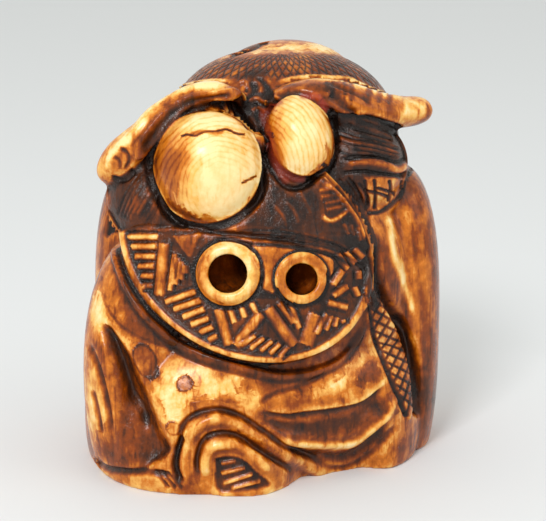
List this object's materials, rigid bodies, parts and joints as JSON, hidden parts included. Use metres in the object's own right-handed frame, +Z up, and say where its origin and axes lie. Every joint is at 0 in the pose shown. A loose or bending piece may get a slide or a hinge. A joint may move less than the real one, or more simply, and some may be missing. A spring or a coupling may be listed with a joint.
{
  "type": "netsuke",
  "caption": "Carved ivory toggle shaped as a crouching robed figure with a plaited hat slung on its back, cut through by a cord channel.",
  "frame": {"origin": "centre of the bounding box, on the underside that it stands on", "axes": "+Z up, -Y out of the figure's back with the cord holes, +Y out of its face, +X to the right seen from the back"},
  "size_m": [0.035, 0.0306, 0.0396],
  "materials": {
    "stained_ivory": "hand polished ivory, stained dark brown in the recesses"
  },
  "bodies": {
    "root": {"carved_figure": "stained_ivory"}
  },
  "joints": []
}
